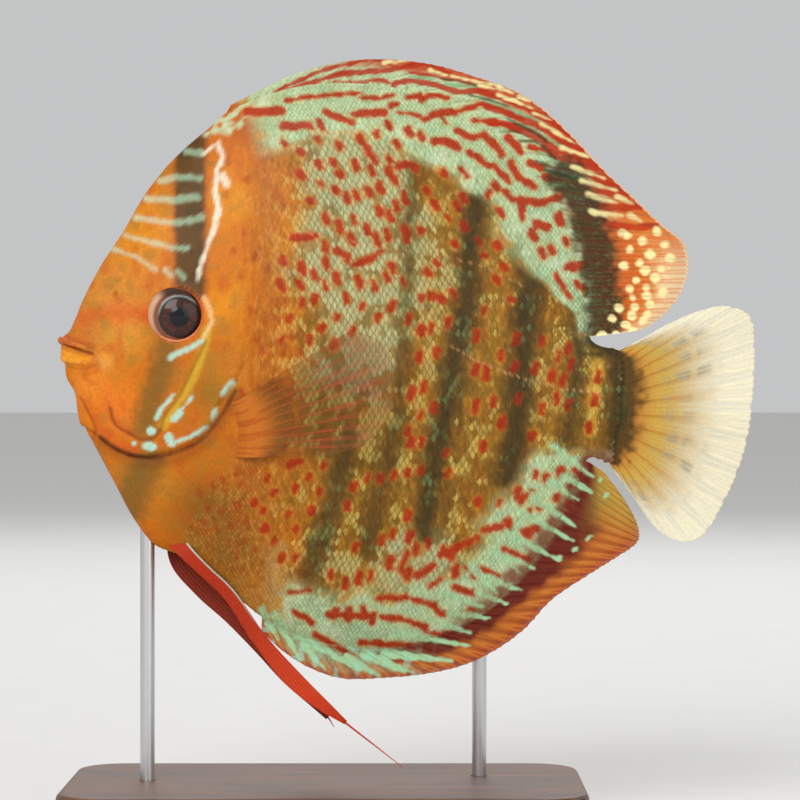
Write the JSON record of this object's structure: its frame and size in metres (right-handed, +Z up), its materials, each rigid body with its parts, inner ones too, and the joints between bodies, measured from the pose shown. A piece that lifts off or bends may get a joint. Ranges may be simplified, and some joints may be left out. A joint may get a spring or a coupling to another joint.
{
  "type": "discus fish model on a display stand",
  "caption": "Life-size still model of a tall, flat, red-spotted turquoise discus fish, swimming, held by two short rods on a plain flat base.",
  "frame": {"origin": "middle of the underside of the stand's base", "axes": "+Z up, -X towards the fish's snout, -Y towards its left side"},
  "size_m": [0.1674, 0.072, 0.1851],
  "materials": {
    "skin": "satin, scaled, wet-looking, with red spots and turquoise streaks",
    "fin": "satin, rayed, thin at the edges",
    "eye": "polished, clear domed",
    "stand_wood": "oiled dark wood",
    "rod_steel": "brushed"
  },
  "bodies": {
    "root": {"head": "skin", "trunk": "skin", "tail_stalk": "skin", "dorsal_fin": "fin", "anal_fin": "fin", "caudal_fin": "fin", "pectoral_fin_left": "fin", "pectoral_fin_right": "fin", "pelvic_fin_left": "fin", "pelvic_fin_right": "fin", "eye_left": "eye", "eye_right": "eye", "stand_base": "stand_wood", "stand_rod_front": "rod_steel", "stand_rod_rear": "rod_steel"}
  },
  "joints": []
}
